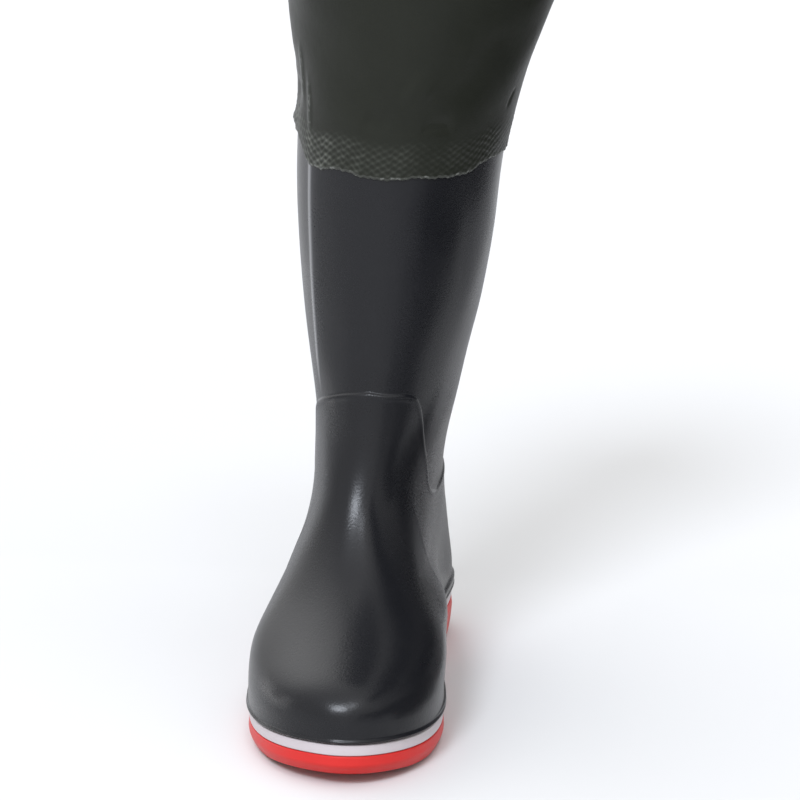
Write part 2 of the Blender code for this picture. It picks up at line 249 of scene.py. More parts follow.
# Folds: ridges, or troughs where the swell is negative, along lines given by turn in degrees and height
Fold = namedtuple("Fold", "name from_turn from_height to_turn to_height width swell")
FOLDS = (
    Fold("crest", 118.5, 388, 121.5, 345, 2.6, 0.9),
    Fold("pleat", 126.5, 372, 130.5, 330, 2.2, 0.7),
    Fold("pucker", 90, 331, 113, 331, 4.5, 2.2),
    Fold("waist", 107, 336, 107, 364, 9.0, -2.6),
    Fold("calf", 106, 366, 104, 412, 12.0, 0.8),
    Fold("dent", 165, 351, 182, 346, 6.0, -1.2),
    Fold("dip", 196, 344, 216, 343, 6.5, -1.3),
    Fold("front", 184, 370, 201, 362, 9.0, 1.1),
    Fold("nick", 251, 346, 256, 359, 1.7, -0.7),
    Fold("shin", 224, 408, 215, 352, 8.0, -1.0),
    Fold("inner", 300, 424, 311, 348, 9.0, -1.5),
    Fold("outer", 40, 432, 55, 346, 10.0, -1.7),
    Fold("back", 345, 404, 362, 348, 8.0, 1.2),
    Fold("tuck", 75, 372, 66, 345, 4.0, 1.5),
    Fold("heel", 322, 366, 331, 344, 3.5, 1.3),
)
FOLD_TAPER = 0.35
# Width of the painted highlight on a fold's crest, in millimetres
FOLD_HIGHLIGHT_WIDTH = 1.6
SHAFT_FOLD_DEPTH = 0.3
ADDED_FOLD_DEPTH = 2.5
FOLDS_DEEPEN = (338, 352)
INNER_FOLDS_START = (343, 353)
PLEATS_START = (0.05, 0.35)
# Folds whose crests get a painted highlight
HIGHLIGHTED_FOLDS = ("crest", "pleat", "nick")

# Camera and light, as read from the photograph's view
VIEW_AZIMUTH = 9.0
VIEW_ELEVATION = 17.0
VIEW_DISTANCE = 4000.0
VIEW_CENTRE = np.array([0.0, 0.0, 220.0])
VIEW_AIM = np.array([23.1, -6.8, 186.0])
LENS = 311.4
SENSOR_WIDTH = 36
FLOOR_HALF_METRES = 30.0

# Surroundings: an even level and soft lights, of which a negative strength takes light away
EVEN_LEVEL = 0.95
SoftLight = namedtuple("SoftLight", "azimuth elevation sharpness strength")
SOFT_LIGHTS = (
    SoftLight(-142, 44, 8.0, 1.75),
    SoftLight(45, 64, 7.0, 0.75),
    SoftLight(146, 24, 2.5, -0.91),
    SoftLight(-114, 5, 7.0, -0.6),
)

# Keys: distant lamps, with directions and spread in degrees
KEY_COLOUR = (0.86, 0.91, 1.0)
Key = namedtuple("Key", "name azimuth elevation energy spread")
KEYS = (
    Key("key", -12, 46, 1.9, 17),
    Key("second_key", 20, 57, 0.4, 14),
)

# Cards, mats and panels: the range on each axis in millimetres, the grey of the face and its own light
Card = namedtuple("Card", "name x y z tone glow")
CARDS = (
    Card("low_card", (500, 500), (-420, -30), (25, 165), 0.012, 0),
    Card("high_card", (500, 500), (-30, 120), (70, 160), 0.012, 0),
    Card("front_card", (500, 500), (-900, -420), (100, 235), 0.012, 0),
    Card("side_card", (200, 200), (40, 420), (232, 460), 0.012, 0),
    Card("side_front", (200, 200), (-190, 40), (232, 330), 0.012, 0),
    Card("near_card", (130, 130), (-60, 140), (80, 122), 0.03, 0),
    Card("near_toe", (130, 130), (-130, -5), (10, 78), 0.1, 0),
    Card("near_foot", (130, 130), (-5, 300), (0, 78), 0.34, 0),
    Card("left_card", (-800, -800), (100, 600), (2, 110), 0.6, 0),
    Card("back_mat", (-380, 250), (220, 900), (2, 2), 0.42, 0),
    Card("right_mat", (380, 1200), (320, 1300), (2, 2), 0.38, 0),
    Card("front_mat", (150, 1500), (-2500, -150), (2, 2), 0.5, 0),
    Card("toe_panel", (-300, -300), (-150, -60), (10, 140), 0.5, 1.5),
    Card("low_panel", (-300, -300), (-60, 20), (5, 65), 0.5, 1.5),
    Card("vamp_panel", (-300, -300), (20, 100), (20, 115), 0.5, 1.5),
)

# Cloth: spacing of threads, ribs and loops, in metres
THREAD_PITCH = 0.0009
RIB_PITCH = 0.0026
LOOP_PITCH = 0.0017


# Shared curves


def spline(table, key, column):
    """Natural cubic through a table's columns: second derivatives from the knots, zero at both ends."""
    knots = np.array(table[key], float)
    values = np.array(table[column], float)
    step = np.diff(knots)
    slope = np.diff(values) / step
    count = len(knots)
    matrix = np.eye(count)
    bend = np.zeros(count)
    for i in range(1, count - 1):
        matrix[i, i - 1 : i + 2] = step[i - 1], 2 * (step[i - 1] + step[i]), step[i]
        bend[i] = 6 * (slope[i] - slope[i - 1])
    second = np.linalg.solve(matrix, bend)

    def curve(at):
        at = np.clip(at, knots[0], knots[-1])
        i = np.clip(np.searchsorted(knots, at) - 1, 0, count - 2)
        before = at - knots[i]
        after = knots[i + 1] - at
        cubic = (second[i] * after**3 + second[i + 1] * before**3) / (6 * step[i])
        start = (values[i] / step[i] - second[i] * step[i] / 6) * after
        end = (values[i + 1] / step[i] - second[i + 1] * step[i] / 6) * before
        return cubic + start + end

    return curve


def smooth_step(low, high, at):
    """0 below low, 1 above high, and an S-shaped cubic between them."""
    share = np.clip((at - low) / (high - low), 0, 1)
    return share * share * (3 - 2 * share)


def bell(at, width):
    """Bell curve of height 1 round zero."""
    return np.exp(-((at / width) ** 2))


def rows_of(table):
    """The rows of a table that is kept as named columns."""
    return zip(*table.values())


def slow_waves(turn, height, size, seed):
    """Unevenness of a moulded wall: a few long sine waves round it times sine waves up it."""
    random = np.random.default_rng(seed)
    total = 0
    for around, length in rows_of(MOULD_WAVES):
        phase = random.uniform(0, 2 * math.pi, 2)
        total = total + np.sin(around * turn + phase[0]) * np.sin(2 * math.pi * height / length + phase[1])
    return size * total / 2


def turn_of(station):
    """Turn round the boot, heel 0 and toe pi, whose cosine gives a station along the last."""
    return np.arccos(np.clip(1 - 2 * np.asarray(station, float) / LAST_LENGTH, -1, 1))


def half_turn(turn):
    """The turn folded to 0..pi, and whether it is on the medial side."""
    turn = np.mod(turn, 2 * math.pi)
    return np.where(turn <= math.pi, turn, 2 * math.pi - turn), turn > math.pi


def column_station(turn):
    """Station of a column of the sole: half the last's length times 1 - cosine of the turn."""
    half, _ = half_turn(turn)
    return LAST_LENGTH * (1 - np.cos(half)) / 2


PLAN["turn"] = turn_of(PLAN["station"])
plan_lateral = spline(PLAN, "turn", "lateral")
plan_medial = spline(PLAN, "turn", "medial")
seat = spline(SEAT, "station", "height")
front = spline(FRONT, "height", "station")
back = spline(BACK, "height", "station")
shaft_lateral = spline(SHAFT, "height", "lateral")
shaft_medial = spline(SHAFT, "height", "medial")
shaft_widest = spline(SHAFT, "height", "widest")
ridge_x = spline(DOME, "station", "ridge_x")
lateral_power = spline(DOME, "station", "lateral_power")
medial_power = spline(DOME, "station", "medial_power")
lateral_swell = spline(SWELL, "station", "lateral")
medial_swell = spline(SWELL, "station", "medial")
overlay_lateral = spline(OVERLAY_EDGE, "turn_deg", "lateral")
overlay_medial = spline(OVERLAY_EDGE, "turn_deg", "medial")
rand_edge = spline(RAND_EDGE, "turn_deg", "height")
crease_turn = spline(CREASE, "height", "turn_deg")
weld_edge = spline(WELD_EDGE, "turn_deg", "height")
rand_side = spline(RAND, "rise", "side")
rand_toe = spline(RAND, "rise", "toe")
band_profile = spline(BAND, "rise", "offset")
footbed_inset = spline(FOOTBED_EDGE, "rise", "inset")

RIDGE_HEIGHTS = np.linspace(FRONT["height"][0], FRONT["height"][-1], RIDGE_SAMPLES)
RIDGE_STATIONS = np.minimum.accumulate(front(RIDGE_HEIGHTS))


def ridge_height(station):
    """Height of the upper's top line over a station: the front profile read the other way."""
    return np.interp(station, RIDGE_STATIONS[::-1], RIDGE_HEIGHTS[::-1])


def ground(station):
    """Height of the outsole's lower face: flat heel, breast, arch, flat forefoot, toe spring."""
    return np.interp(station, GROUND["station"], GROUND["height"])


def last_surface(turn, height):
    """Point of the plain last: superellipse foot sections below, egg-shaped shaft sections above, blended."""
    half, medial = half_turn(turn)
    share = (1 - np.cos(half)) / 2
    start = back(height)
    station = start + (front(height) - start) * share

    plan_turn = turn_of(station - start * np.clip(1 - station / HEEL_SHIFT_ENDS, 0, 1))
    edge = np.where(medial, plan_medial(plan_turn), plan_lateral(plan_turn))
    power = np.where(medial, medial_power(station), lateral_power(station))
    widest_level = seat(station) + WIDEST_ABOVE_SEAT
    swell = np.where(medial, medial_swell(station), -lateral_swell(station))
    swell_share = np.clip((height - widest_level) / SWELL_HEIGHT, 0, 1)
    edge = edge + swell * (4 * swell_share * (1 - swell_share)) ** 2
    rise = (height - widest_level) / np.maximum(ridge_height(station) - widest_level, 1e-6)
    dome = (1 - np.clip(rise, 0, 1) ** power) ** (1 / power)
    ridge = ridge_x(station)
    foot_x = ridge + (edge - ridge) * dome

    side = np.where(medial, shaft_medial(height), shaft_lateral(height))
    middle = (shaft_medial(height) + shaft_lateral(height)) / 2
    widest = shaft_widest(height)
    reach = np.where(share < widest, (widest - share) / widest, (share - widest) / (1 - widest))
    shaft_x = middle + (side - middle) * np.sqrt(np.clip(1 - reach**2, 0, 1))

    blend = smooth_step(FOOT_ENDS, SHAFT_STARTS, height)
    x = foot_x + (shaft_x - foot_x) * blend
    return np.stack([x, HEEL_Y - station, height + 0 * x], axis=-1)


def round_the_last(turn, height, reach=0.03):
    """Change of the last's point for each radian of turn, from two points close by."""
    return (last_surface(turn + reach, height) - last_surface(turn - reach, height)) / (2 * reach)


def offset_surface(turn, height, offset):
    """The last moved out along its normal, the cross product of its directions round and up."""
    reach = 0.6
    up = last_surface(turn, height + reach) - last_surface(turn, height - reach)
    normal = np.cross(round_the_last(turn, height), up)
    normal /= np.linalg.norm(normal, axis=-1, keepdims=True)
    return last_surface(turn, height) + normal * np.asarray(offset)[..., None]


def even_turns(columns):
    """Turns all the way round, evenly spaced, heel first, then lateral side, toe and medial side."""
    return np.arange(columns) * 2 * math.pi / columns


def spaced_levels(turns, low, high, rows):
    """Heights that share out each upright line of the last, from low to high, in equal lengths."""
    heights = low + (high - low) * np.linspace(0, 1, LEVEL_SAMPLES)[:, None]
    points = last_surface(np.broadcast_to(turns, heights.shape), heights)
    steps = np.linalg.norm(np.diff(points, axis=0), axis=-1)
    length = np.vstack([np.zeros(len(turns)), np.cumsum(steps, axis=0)])
    shares = np.linspace(0, 1, rows)
    columns = [np.interp(shares * length[-1, j], length[:, j], heights[:, j]) for j in range(len(turns))]
    return np.stack(columns, axis=1)


def wall_foot(turns):
    """Height of the upper's lower edge at every column, just clear of the white band."""
    return seat(column_station(turns)) + GAP


# Meshes


def tube_quads(rows, columns, closed):
    """Corner rows and columns of the quads between stacked rings; closed joins the last to the first."""
    below, column = np.meshgrid(np.arange(rows if closed else rows - 1), np.arange(columns), indexing="ij")
    corner_rows = np.stack([below, below, below + 1, below + 1], axis=-1).reshape(-1, 4)
    corner_columns = np.stack([column, column + 1, column + 1, column], axis=-1).reshape(-1, 4)
    return corner_rows, corner_columns


def rung_faces(ring, inner, facing_up):
    """Faces of a sheet of rungs across a ring: quads between rungs and triangles at heel and toe."""
    half = len(ring) // 2
    index = np.concatenate([ring[1:half, None], inner, ring[:half:-1, None]], axis=1)
    quads = np.stack([index[:-1, :-1], index[:-1, 1:], index[1:, 1:], index[1:, :-1]], axis=-1).reshape(-1, 4)
    heel = np.stack([np.full(index.shape[1] - 1, ring[0]), index[0, 1:], index[0, :-1]], axis=-1)
    toe = np.stack([index[-1, :-1], index[-1, 1:], np.full(index.shape[1] - 1, ring[half])], axis=-1)
    faces = [quads, heel, toe]
    return [face[:, ::-1] for face in faces] if facing_up else faces


def new_piece(name, points, faces, replaced=None, maps=None):
    """A smooth mesh object from points in the last's millimetres, riding on the part's one body."""
    mesh = bpy.data.meshes.new(name)
    corners = np.concatenate([face.ravel() for face in faces])
    sizes = np.concatenate([np.full(len(face), face.shape[1]) for face in faces])
    mesh.vertices.add(len(points))
    mesh.vertices.foreach_set("co", ((points - PART_ORIGIN) * MM).astype(np.float32).ravel())
    mesh.loops.add(len(corners))
    mesh.loops.foreach_set("vertex_index", corners.astype(np.int32))
    mesh.polygons.add(len(sizes))
    mesh.polygons.foreach_set("loop_start", np.concatenate([[0], np.cumsum(sizes)[:-1]]).astype(np.int32))
    mesh.polygons.foreach_set("use_smooth", np.ones(len(sizes), bool))
    mesh.update(calc_edges=True)
    for map_name, corners_on_map in (maps or {}).items():
        layer = mesh.uv_layers.new(name=map_name)
        layer.data.foreach_set("uv", corners_on_map.astype(np.float32).ravel())
    piece = bpy.data.objects.new(name, mesh)
    bpy.context.scene.collection.objects.link(piece)
    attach(piece, "root")
    if replaced:
        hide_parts(replaced)
    return piece


def tube_piece(name, rings, replaced=None, highlights_and_fray=None):
    """A closed hollow wall: rings up its outside, over its rim and down its inside, mapped in metres.

    The painted highlights and the fray are two values for each point, which go into a second map.
    """
    rows, columns = rings.shape[:2]
    corner_rows, corner_columns = tube_quads(rows, columns, closed=True)
    quads = corner_rows % rows * columns + corner_columns % columns
    around = np.linalg.norm(np.roll(rings, -1, axis=1) - rings, axis=-1).mean(axis=0)
    along = np.linalg.norm(np.roll(rings, -1, axis=0) - rings, axis=-1).mean(axis=1)
    across = np.concatenate([[0], np.cumsum(around)]) * MM
    upward = np.concatenate([[0], np.cumsum(along)]) * MM
    maps = {"cloth": np.stack([across[corner_columns], upward[corner_rows]], axis=-1)}
    if highlights_and_fray is not None:
        maps["highlights_and_fray"] = highlights_and_fray.reshape(-1, 2)[quads]
    return new_piece(name, rings.reshape(-1, 3), [quads], replaced, maps)


def plate_piece(name, rings, floor, roof, replaced):
    """A solid plate: rings up its side, closed below and above by sheets of rungs given as inner points."""
    rows, columns = rings.shape[:2]
    corner_rows, corner_columns = tube_quads(rows, columns, closed=False)
    faces = [corner_rows * columns + corner_columns % columns]
    points = [rings.reshape(-1, 3)]
    first = rows * columns
    for ring_row, sheet, facing_up in ((0, floor, False), (rows - 1, roof, True)):
        inner = first + np.arange(sheet.shape[0] * sheet.shape[1]).reshape(sheet.shape[:2])
        faces += rung_faces(ring_row * columns + np.arange(columns), inner, facing_up)
        points.append(sheet.reshape(-1, 3))
        first += inner.size
    return new_piece(name, np.concatenate(points), faces, replaced)


def rungs(ring, steps):
    """Points across a ring, between matching places of its lateral and medial sides, ends left out."""
    half = len(ring) // 2
    lateral = ring[1:half, None]
    medial = ring[:half:-1, None]
    share = np.linspace(0, 1, steps + 1)[1:-1, None]
    return lateral + (medial - lateral) * share


def plan_ring(turns, offset, height):
    """A ring round the plan outline, moved out sideways by an offset, at a height for each column."""
    def plain(turn):
        half, medial = half_turn(turn)
        x = np.where(medial, plan_medial(half), plan_lateral(half))
        return np.stack([x, HEEL_Y - column_station(turn)], axis=-1)

    reach = 0.02
    along = plain(turns + reach) - plain(turns - reach)
    normal = np.stack([along[:, 1], -along[:, 0]], axis=-1)
    normal /= np.linalg.norm(normal, axis=-1, keepdims=True)
    return np.concatenate([plain(turns) + normal * offset, height[:, None]], axis=1)


# Upper


def overlay_edge(turn):
    """Height of the overlay's upper edge at a turn, from the curve of its side."""
    half, medial = half_turn(turn)
    return np.where(medial, overlay_medial(np.degrees(half)), overlay_lateral(np.degrees(half)))


def overlay_relief(turn, height):
    """Ankle overlay: its full step below the edge, a rounded roll at the edge, nothing above."""
    distance = (height - overlay_edge(turn)) / edge_stretch(turn)
    step = OVERLAY_STEP * (1 - smooth_step(*LIP_SLOPE, distance))
    return step + LIP_ROLL * bell(distance + LIP_ROLL_BELOW, LIP_ROLL_WIDTH)


def edge_stretch(turn):
    """How much longer a height difference at the overlay's sloping edge is than the distance square to it."""
    reach = 0.02
    rise = overlay_edge(turn + reach) - overlay_edge(turn - reach)
    run = np.linalg.norm(round_the_last(turn, overlay_edge(turn)), axis=-1) * 2 * reach
    return np.sqrt(1 + (rise / run) ** 2)


def crease_aside(turn, height):
    """Distance round the wall from the crease's line."""
    arc = np.linalg.norm(round_the_last(turn, height), axis=-1)
    return (np.mod(turn, 2 * math.pi) - np.radians(crease_turn(height))) * arc


def crease_relief(turn, height):
    """Upright crease at the front of the lateral side: a soft fold with a narrow crest on its line."""
    aside = crease_aside(turn, height)
    fold = CREASE_HEIGHT * np.exp(-np.sqrt(aside**2 + CREASE_ROUNDING) / CREASE_REACH)
    crest = CREST_HEIGHT * bell(aside, CREST_WIDTH)
    return (fold + crest) * smooth_step(*CREASE_FOOT, height)


def crease_highlight(turn, height):
    """Painted highlight along the crease: a narrow bell of paler colour on its crest and a short tail to the
    front.
    """
    aside = crease_aside(turn, height)
    tail = CREASE_HIGHLIGHT_TAIL * np.exp(-np.maximum(aside, 0) / CREASE_HIGHLIGHT_REACH) * smooth_step(-1, 1, aside)
    return np.maximum(bell(aside, CREASE_HIGHLIGHT_WIDTH), tail) * smooth_step(*CREASE_FOOT, height)


def ridge_relief(turn, height):
    """Instep ridge: a shallow flat along it, a bell across the ridge in a window of heights."""
    half, _ = half_turn(turn)
    aside = last_surface(turn, height)[..., 0] - last_surface(np.full_like(turn, math.pi), height)[..., 0]
    rises, risen, falls, fallen = EASED_HEIGHTS
    window = smooth_step(rises, risen, height) * (1 - smooth_step(falls, fallen, height))
    return -RIDGE_EASE * bell(aside, RIDGE_WIDTH) * window * (half > math.pi / 2)


def upper_relief(turn, height):
    """Everything that stands off the last above the rand."""
    moulded = overlay_relief(turn, height) + ridge_relief(turn, height)
    return moulded + crease_relief(turn, height) + slow_waves(turn, height, UPPER_WAVES, UPPER_SEED)


def make_upper():
    """Foot and shaft in one wall: rand, overlay and crease outside, plain inside, round collar rim."""
    turns = even_turns(UPPER_COLUMNS)
    foot = wall_foot(turns)
    half, _ = half_turn(turns)
    edge = overlay_edge(turns)
    lip = LIP_REACH * edge_stretch(turns)
    collar = np.full(len(turns), COLLAR_HEIGHT)

    rand = foot + RAND_ROWS[:, None]
    overlay = spaced_levels(turns, foot + RAND_ROWS[-1] + ROW_GAP, edge - lip, OVERLAY_ROWS)
    roll = edge + lip * np.linspace(-1, 1, LIP_ROWS)[1:-1, None]
    shaft = spaced_levels(turns, edge + lip, collar - ROW_GAP, SHAFT_ROWS)
    levels = np.concatenate([rand, overlay, roll, shaft])
    turn = np.broadcast_to(turns, levels.shape)
    relief = upper_relief(turn, levels)
    toe_share = smooth_step(*RAND_FADES, np.degrees(half))
    rise = RAND_ROWS[:, None]
    above_bead = np.maximum(rise - BEAD_TOP, 0) / (rand_edge(np.degrees(half)) - BEAD_TOP)
    side = rand_side(np.minimum(rise, BEAD_TOP) + (RAND_TOP - BEAD_TOP) * above_bead)
    proud = side + (rand_toe(rise) - side) * toe_share - OVERLAY_STEP
    lower_edge = smooth_step(*RAND_JOIN, RAND_ROWS)[:, None]
    relief[: len(RAND_ROWS)] = relief[: len(RAND_ROWS)] * lower_edge + OVERLAY_STEP * (1 - lower_edge) + proud
    outside = offset_surface(turn, levels, relief)
    outside[0, :, 2] = foot

    rim_rows = [offset_surface(turns, collar - drop, offset) for drop, offset in rows_of(COLLAR_RIM)]
    inner_levels = spaced_levels(turns, foot, collar - ROW_GAP, INSIDE_ROWS)[::-1]
    inside = offset_surface(np.broadcast_to(turns, inner_levels.shape), inner_levels, -WALL)
    inside[-1, :, 2] = foot
    rings = np.concatenate([outside, rim_rows, inside])
    highlights_and_fray = np.zeros(rings.shape[:2] + (2,))
    # First value of the second map: the crease's painted highlight
    highlights_and_fray[: len(outside), :, 0] = crease_highlight(turn, levels)
    return tube_piece("boot_upper", rings, "upper", highlights_and_fray)


def make_lining():
    """Knitted lining: a thin tube just inside the wall, from the footbed to the collar."""
    turns = even_turns(LINING_COLUMNS)
    low = wall_foot(turns) + FOOTBED_THICKNESS + LINING_RISE
    levels = spaced_levels(turns, low, np.full(len(turns), COLLAR_HEIGHT - LINING_DROP), LINING_ROWS)
    turn = np.broadcast_to(turns, levels.shape)
    outer_depth, inner_depth = LINING_DEPTHS
    outer = offset_surface(turn, levels, -WALL - outer_depth)
    inner = offset_surface(turn, levels[::-1], -WALL - inner_depth)
    return tube_piece("knit_lining", np.concatenate([outer, inner]))


# Sole


def make_band():
    """White band: rings round the plan whose offset follows a softly crowned profile."""
    turns = even_turns(BAND_COLUMNS)
    low = seat(column_station(turns)) - BAND_THICKNESS
    rings = np.stack([plan_ring(turns, band_profile(rise), low + rise) for rise in BAND_ROWS])
    floor = rungs(rings[0], PLAIN_RUNGS)
    roof = rungs(rings[-1], PLAIN_RUNGS)
    return plate_piece("white_band", rings, floor, roof, "midsole")


def tread_roof(x, station):
    """Height of the sole's lower face: the ground line, raised to a flat roof inside each chevron groove."""
    face = ground(station)
    for start in GROOVE_STATIONS:
        lateral = plan_lateral(turn_of(start)) + TREAD_RIM
        medial = plan_medial(turn_of(start)) - TREAD_RIM
        middle = (lateral + medial) / 2
        along = station - start - CHEVRON_RISE * (1 - np.abs(x - middle) / (medial - middle))
        inside = np.minimum(np.minimum(along, GROOVE_WIDTH - along), np.minimum(x - lateral, medial - x))
        roof = ground(start + CHEVRON_RISE) + TREAD_DEPTH
        face = face + (roof - face) * smooth_step(-GROOVE_SLOPE, GROOVE_SLOPE, inside)
    return face


def make_outsole():
    """Red sole: rings from the ground round the lower edge, over the side rib to the band, tread below."""
    turns = even_turns(SOLE_COLUMNS)
    station = column_station(turns)
    low = ground(station)
    high = seat(station) - BAND_THICKNESS - GAP
    side_share = spline(SOLE_SIDE, "row", "share")
    side_rise = spline(SOLE_SIDE, "row", "rise")
    side_offset = spline(SOLE_SIDE, "row", "offset")
    rows = np.linspace(0, SOLE_SIDE["row"][-1], SOLE_ROWS)
    rings = np.stack([
        plan_ring(turns, side_offset(row), low + (high - low) * side_share(row) + side_rise(row))
        for row in rows
    ])
    floor = rungs(rings[0], TREAD_RUNGS)
    floor[..., 2] = tread_roof(floor[..., 0], HEEL_Y - floor[..., 1])
    roof = rungs(rings[-1], PLAIN_RUNGS)
    return plate_piece("red_outsole", rings, floor, roof, "outsole")


def make_footbed():
    """Footbed: a plate inside the wall with a rounded upper edge and a shallow dish across."""
    turns = even_turns(FOOTBED_COLUMNS)
    foot = wall_foot(turns)
    rises = np.linspace(0, FOOTBED_THICKNESS, FOOTBED_ROWS)
    rings = np.stack([
        offset_surface(turns, foot + rise, -WALL - FOOTBED_CLEARANCE - footbed_inset(rise)) for rise in rises
    ])
    rings[:, :, 2] = foot + rises[:, None]
    floor = rungs(rings[0], PLAIN_RUNGS)
    roof = rungs(rings[-1], DISH_RUNGS)
    share = np.linspace(-1, 1, DISH_RUNGS + 1)[1:-1]
    roof[..., 2] -= FOOTBED_DISH * (1 - share**2)
    return plate_piece("footbed", rings, floor, roof, "insole")


# Leg


def fold_distance(fold, turn, height):
    """Distance from a fold's line on the unrolled leg, and the taper from its middle to its ends."""
    degrees = np.degrees(np.mod(turn, 2 * math.pi))
    x = np.radians(np.mod(degrees - fold.from_turn + 180, 360) - 180) * LEG_RADIUS
    y = height - fold.from_height
    run = math.radians(fold.to_turn - fold.from_turn) * LEG_RADIUS
    climb = fold.to_height - fold.from_height
    share = np.clip((x * run + y * climb) / (run**2 + climb**2), 0, 1)
    taper = smooth_step(0, FOLD_TAPER, share) * (1 - smooth_step(1 - FOLD_TAPER, 1, share))
    return np.hypot(x - share * run, y - share * climb), taper


def fold_relief(turn, height):
    """Folds of the leg: along each fold's line a bell-shaped ridge or trough that tapers to its ends."""
    total = slow_waves(turn, height, LEG_WAVES, LEG_SEED)
    for fold in FOLDS:
        distance, taper = fold_distance(fold, turn, height)
        total = total + fold.swell * taper * bell(distance, fold.width)
    return total


def fold_highlight(turn, height):
    """Painted highlight on the crests of the chosen folds: a narrow bell along each line, tapered to its
    ends.
    """
    total = 0
    for fold in FOLDS:
        if fold.name in HIGHLIGHTED_FOLDS:
            distance, taper = fold_distance(fold, turn, height)
            total = total + taper * bell(distance, FOLD_HIGHLIGHT_WIDTH)
    return total


def deepest_fold(height):
    """How far a fold may go in: hardly at all over the shaft, more above its collar."""
    return -SHAFT_FOLD_DEPTH - ADDED_FOLD_DEPTH * smooth_step(*FOLDS_DEEPEN, height)


def weld_seat(turn, height):
    """Offset of the leg's inner face: close on the shaft's outside below the collar, the full gap above."""
    close = np.minimum(upper_relief(turn, height) + WELD_CLEARANCE, GAP)
    return close + (GAP - close) * smooth_step(*SEAT_OPENS, height)


def net_relief(rows, columns):
    """Weld net: rounded lines on both diagonals of the grid, NET_CELLS apart, highest where they cross."""
    row, column = np.meshgrid(np.arange(rows), np.arange(columns), indexing="ij")
    falling, rising = (
        (0.5 + 0.5 * np.cos(2 * math.pi * diagonal / NET_CELLS)) ** NET_SHARPNESS
        for diagonal in (column + row, column - row)
    )
    return NET_LINE * np.maximum(falling, rising) + NET_KNOT * falling * rising


def make_leg():
    """Coated fabric round the shaft: ragged weld edge, net band, folded cloth, cut rim and its inside."""
    columns = NET_CELLS * NET_DIAMONDS
    turns = even_turns(columns)
    random = np.random.default_rng(RAGGED_SEED)
    ragged = sum(
        random.uniform(*RAGGED_SIZES) * np.sin(waves * turns + random.uniform(0, 2 * math.pi))
        for waves in RAGGED_WAVES
    )
    low = weld_edge(np.degrees(turns)) + ragged
    high = np.full(columns, LEG_TOP)
    band_rows = round(WELD_WIDTH / NET_ROW)
    band_share = np.linspace(0, 1, band_rows)[:, None]
    band = low + EDGE_GAP + (WELD_WIDTH - EDGE_GAP) * band_share
    cloth = spaced_levels(turns, band[-1] + CLOTH_GAP, high - RIM_GAP, CLOTH_ROWS)

    turn = np.broadcast_to(turns, band.shape)
    fade = 1 - smooth_step(*NET_FADES, band_share)
    slow, quick = PATCH_WAVES
    patchy = NET_EVEN + NET_PATCHY * np.sin(slow * turn + PATCH_PHASE) * np.sin(quick * turn)
    net = NET_HEIGHT * net_relief(band_rows, columns) * fade * patchy
    pleats = fold_relief(turn, band) * smooth_step(*PLEATS_START, band_share)
    band_wall = offset_surface(turn, band, LEG_OUTER + net + np.maximum(pleats, deepest_fold(band)))

    turn = np.broadcast_to(turns, cloth.shape)
    folds = fold_relief(turn, cloth)
    cloth_wall = offset_surface(turn, cloth, LEG_OUTER + np.maximum(folds, deepest_fold(cloth)))

    edge_rows = [offset_surface(turns, low, weld_seat(turns, low))]
    edge_rows += [offset_surface(turns, low + rise, offset) for rise, offset in rows_of(LEG_EDGE)]
    rim_folds = fold_relief(turns, high - RIM_GAP)
    rim_rows = [offset_surface(turns, high - drop, offset + rim_folds) for drop, offset in rows_of(LEG_RIM)]

    inner_levels = spaced_levels(turns, low, high - RIM_GAP, LEG_INSIDE_ROWS)[::-1]
    turn = np.broadcast_to(turns, inner_levels.shape)
    inner_folds = fold_relief(turn, inner_levels) * smooth_step(*INNER_FOLDS_START, inner_levels)
    inner_offset = weld_seat(turn, inner_levels) + np.maximum(inner_folds, deepest_fold(inner_levels))
    inside = offset_surface(turn, inner_levels, inner_offset)
    rings = np.concatenate([edge_rows, band_wall, cloth_wall, rim_rows, inside[:-1]])

    band_starts = len(edge_rows)
    band_ends = band_starts + band_rows
    frayed_ends = band_starts + FRAYED_ROWS
    # Painted highlight on the net: its share, largest on the lateral front where the light falls
    highlight_share = NET_HIGHLIGHT_ALL_ROUND + NET_HIGHLIGHT_LIT_SIDE * bell(np.degrees(turns) - NET_LIT_SIDE_TURN, NET_LIT_SIDE_WIDTH)
    highlights_and_fray = np.zeros(rings.shape[:2] + (2,))
    highlights_and_fray[band_starts:band_ends, :, 0] = net / NET_HEIGHT * highlight_share
    # Second value of the map: the frayed lower edge, then the painted highlight on the chosen folds' crests
    highlights_and_fray[:frayed_ends, :, 1] = 1
    highlights_and_fray[frayed_ends:band_ends, :, 1] = fold_highlight(turns, band)[FRAYED_ROWS:]
    highlights_and_fray[band_ends : band_ends + len(cloth), :, 1] = fold_highlight(turns, cloth)
    leg = tube_piece("fabric_leg", rings, "leg", highlights_and_fray)
    return leg


# Finishes


class Field:
    """A shader value that grows Math nodes when it meets an operator."""

    def __init__(self, nodes, socket):
        self.nodes = nodes
        self.socket = socket

    def math(self, operation, first, second=0.0):
        """One Math node on two values."""
        return self.nodes.add("ShaderNodeMath", {"operation": operation}, {0: first, 1: second})[0]

    def __add__(self, other):
        return self.math("ADD", self, other)

    def __radd__(self, other):
        return self.math("ADD", other, self)

    def __sub__(self, other):
        return self.math("SUBTRACT", self, other)

    def __rsub__(self, other):
        return self.math("SUBTRACT", other, self)

    def __mul__(self, other):
        return self.math("MULTIPLY", self, other)

    def __rmul__(self, other):
        return self.math("MULTIPLY", other, self)

    def sine(self):
        """Sine of the value, in radians."""
        return self.math("SINE", self)

    def exponent(self):
        """e raised to the value."""
        return self.math("EXPONENT", self)


